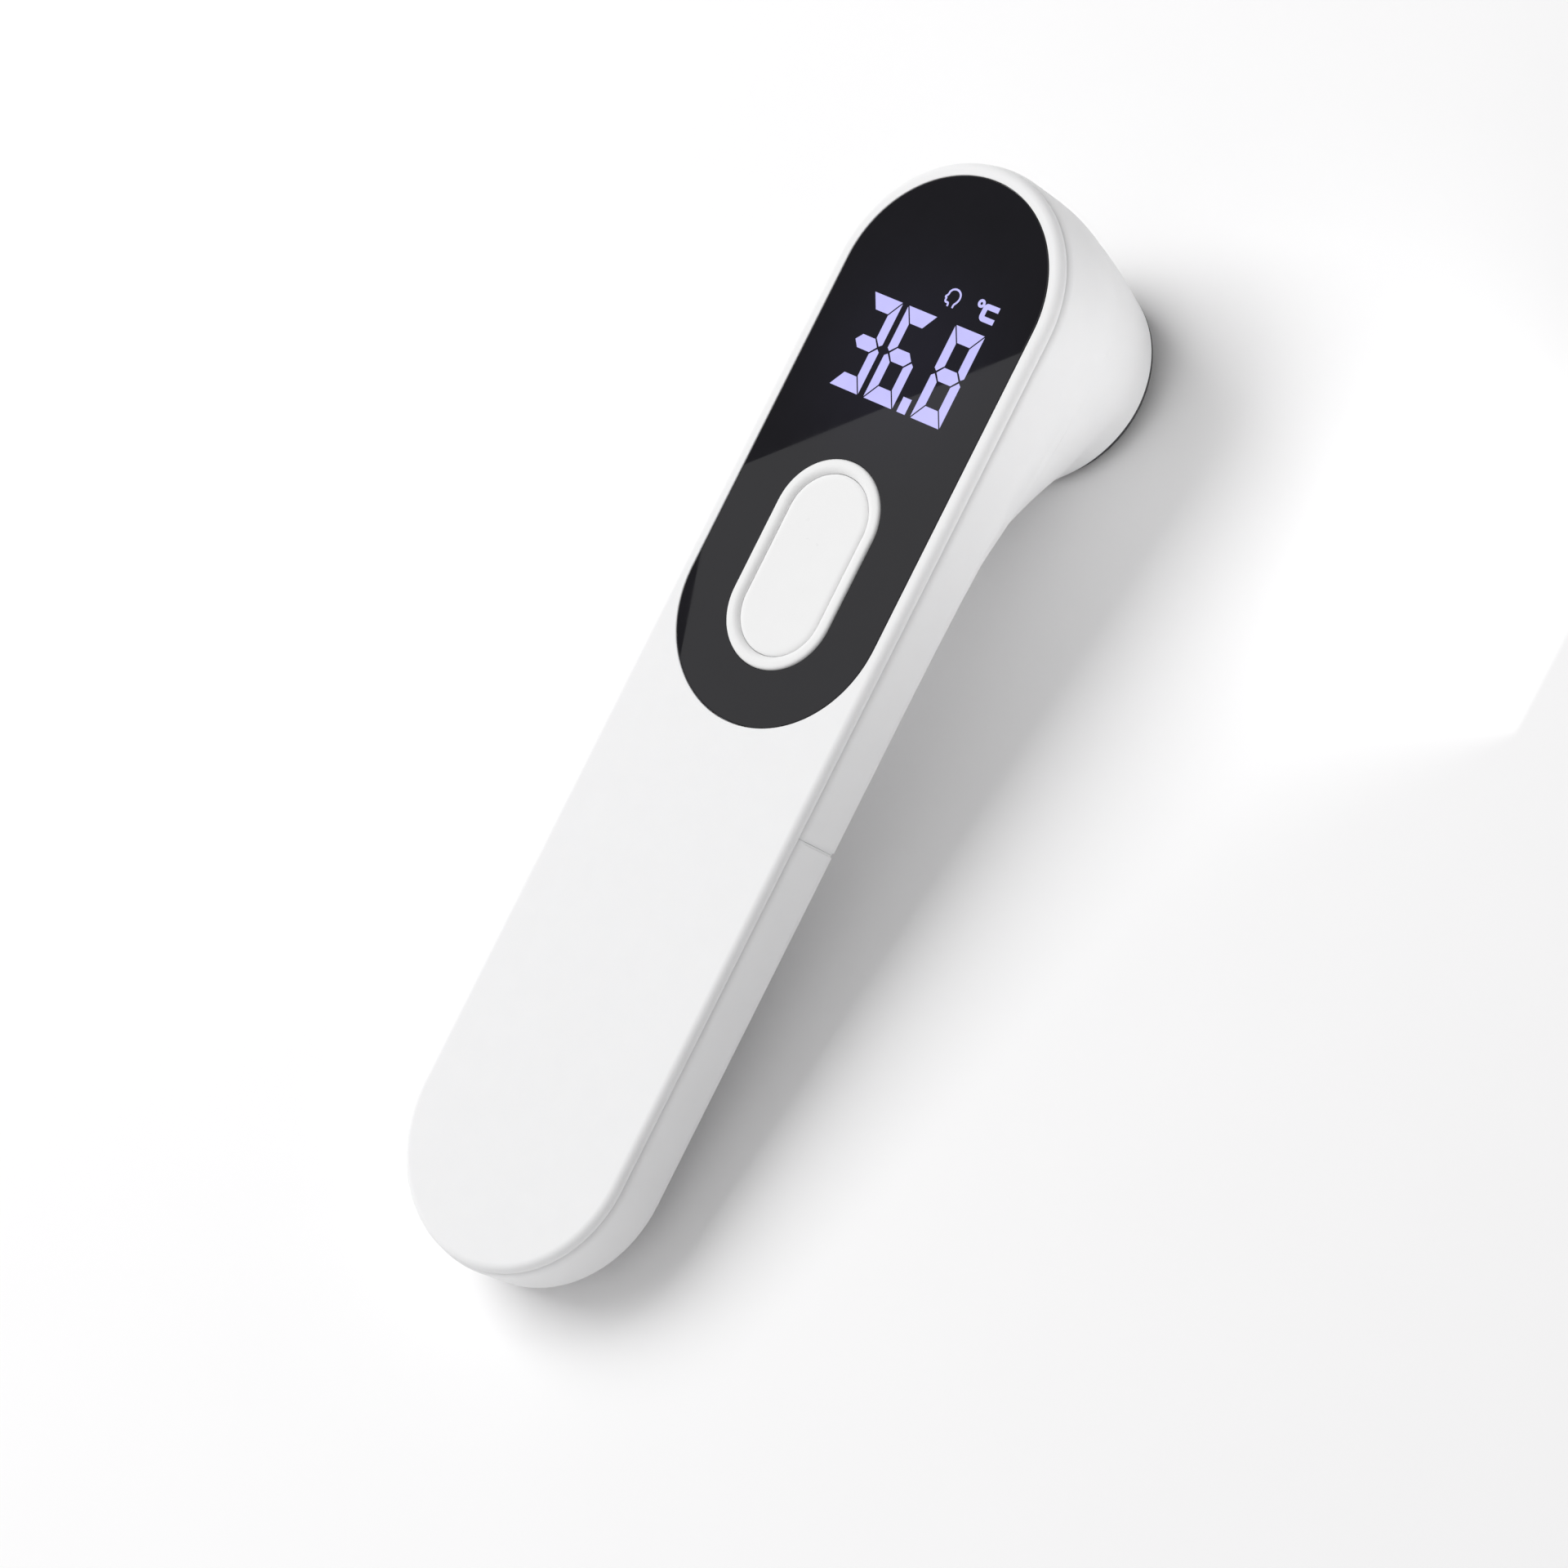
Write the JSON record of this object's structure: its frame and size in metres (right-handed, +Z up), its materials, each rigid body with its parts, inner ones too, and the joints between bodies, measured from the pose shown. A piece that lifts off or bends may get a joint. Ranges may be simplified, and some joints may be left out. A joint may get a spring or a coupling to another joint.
{
  "type": "digital thermometer",
  "caption": "Slim white non-contact infrared forehead thermometer with a flared sensor snout, dark lit display window, stadium measuring button and sliding battery cover.",
  "frame": {"origin": "middle of the bounding box's base: the level the snout rim and the tail edge rest on", "axes": "+X across the display towards its right side, +Y along the handle towards the head, +Z up; the display face looks up, tilted back by about 8 degrees"},
  "size_m": [0.038, 0.161, 0.0358],
  "materials": {
    "white_casing": "fine satin grain, off-white",
    "battery_cover": "fine satin grain, off-white",
    "window": "smoked black, polished",
    "button": "satin, white",
    "display_mask": "dark film with lit segments",
    "white_moulding": "white, matt",
    "dark_moulding": "black, matt",
    "switch_metal": "stamped",
    "contact_metal": "nickel plated",
    "screw_metal": "zinc plated",
    "reflector_metal": "polished",
    "sensor_metal": "gold plated",
    "circuit_board": "green solder mask",
    "cell_wrap": "plain wrap, no print",
    "lead_red": "insulation",
    "lead_black": "insulation"
  },
  "bodies": {
    "casing": {"battery_tray": "white_moulding", "board_screw_1": "screw_metal", "board_screw_2": "screw_metal", "board_screw_3": "screw_metal", "board_screw_4": "screw_metal", "button_ring": "button", "buzzer": "dark_moulding", "cell_left": "cell_wrap", "cell_right": "cell_wrap", "contact_head_left": "contact_metal", "contact_head_right": "contact_metal", "contact_tail": "contact_metal", "controller_chip": "dark_moulding", "display_housing": "white_moulding", "display_mask": "display_mask", "display_window": "window", "front_shell": "white_casing", "lead_negative": "lead_black", "lead_positive": "lead_red", "main_board": "circuit_board", "memory_chip": "dark_moulding", "power_inductor": "dark_moulding", "rear_shell": "white_casing", "reflector_cup": "reflector_metal", "rim_ring": "dark_moulding", "sensor_board": "circuit_board", "sensor_can": "sensor_metal", "sensor_filter": "dark_moulding", "sensor_holder": "dark_moulding", "spring_left": "contact_metal", "spring_right": "contact_metal", "switch_body": "switch_metal", "tail_screw": "screw_metal"},
    "button_key": {"measure_button": "button"},
    "switch_stem": {"switch_plunger": "dark_moulding"},
    "cover": {"battery_cover": "battery_cover"}
  },
  "joints": [
    {"name": "button_press", "type": "slide", "parent": "casing", "child": "button_key", "axis": [0, 0.1431, -0.9897], "range_m": [0, 0.0005], "stiffness_N_per_m": 1500, "springref_m": -0.0003},
    {"name": "switch_travel", "type": "slide", "parent": "casing", "child": "switch_stem", "axis": [0, 0.1431, -0.9897], "range_m": [0, 0.0005]},
    {"name": "cover_slide", "type": "slide", "parent": "casing", "child": "cover", "axis": [0, -0.9897, -0.1431], "range_m": [0, 0.062]}
  ],
  "couplings": [
    {"joint": "switch_travel", "follows": "button_press", "ratio": 1}
  ]
}
